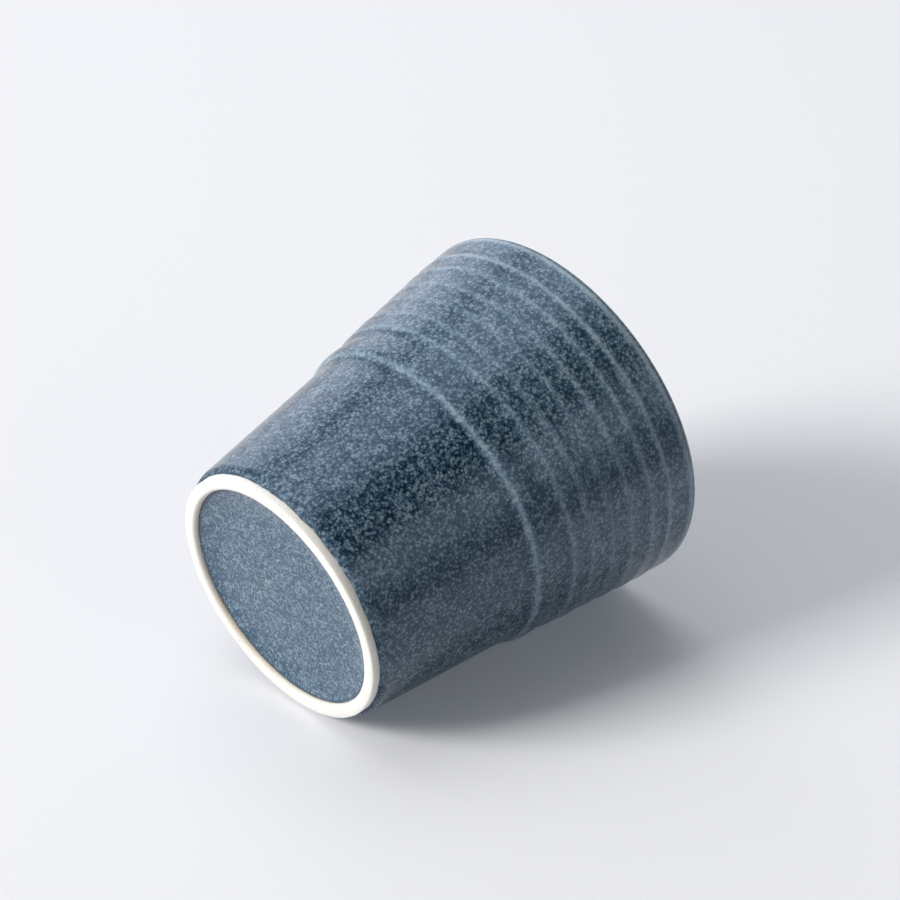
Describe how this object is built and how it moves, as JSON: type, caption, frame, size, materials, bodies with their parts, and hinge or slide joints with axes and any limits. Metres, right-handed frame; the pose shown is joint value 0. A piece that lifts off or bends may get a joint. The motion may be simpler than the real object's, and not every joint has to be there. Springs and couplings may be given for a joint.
{
  "type": "yunomi tea cup",
  "caption": "Handleless stoneware tea cup: a flared round wall with a raised ridge and throwing rings, glazed inside and out, standing on a bare clay foot ring.",
  "frame": {"origin": "centre of the foot ring's resting face", "axes": "+Z along the cup's axis, from the foot to the mouth; the cup is round, so X and Y have no own meaning"},
  "size_m": [0.076, 0.076, 0.0755],
  "materials": {
    "clay": "biscuit-fired stoneware",
    "bare_foot": "bare cream stoneware, smoothed",
    "outer_glaze": "satin blue crystal glaze",
    "inner_glaze": "satin blue crystal glaze",
    "well_glaze": "satin blue glaze, paler and finer"
  },
  "bodies": {
    "root": {"clay_body": "clay", "foot_ring": "bare_foot", "outer_glaze": "outer_glaze", "inner_glaze": "inner_glaze", "well_glaze": "well_glaze"}
  },
  "joints": []
}
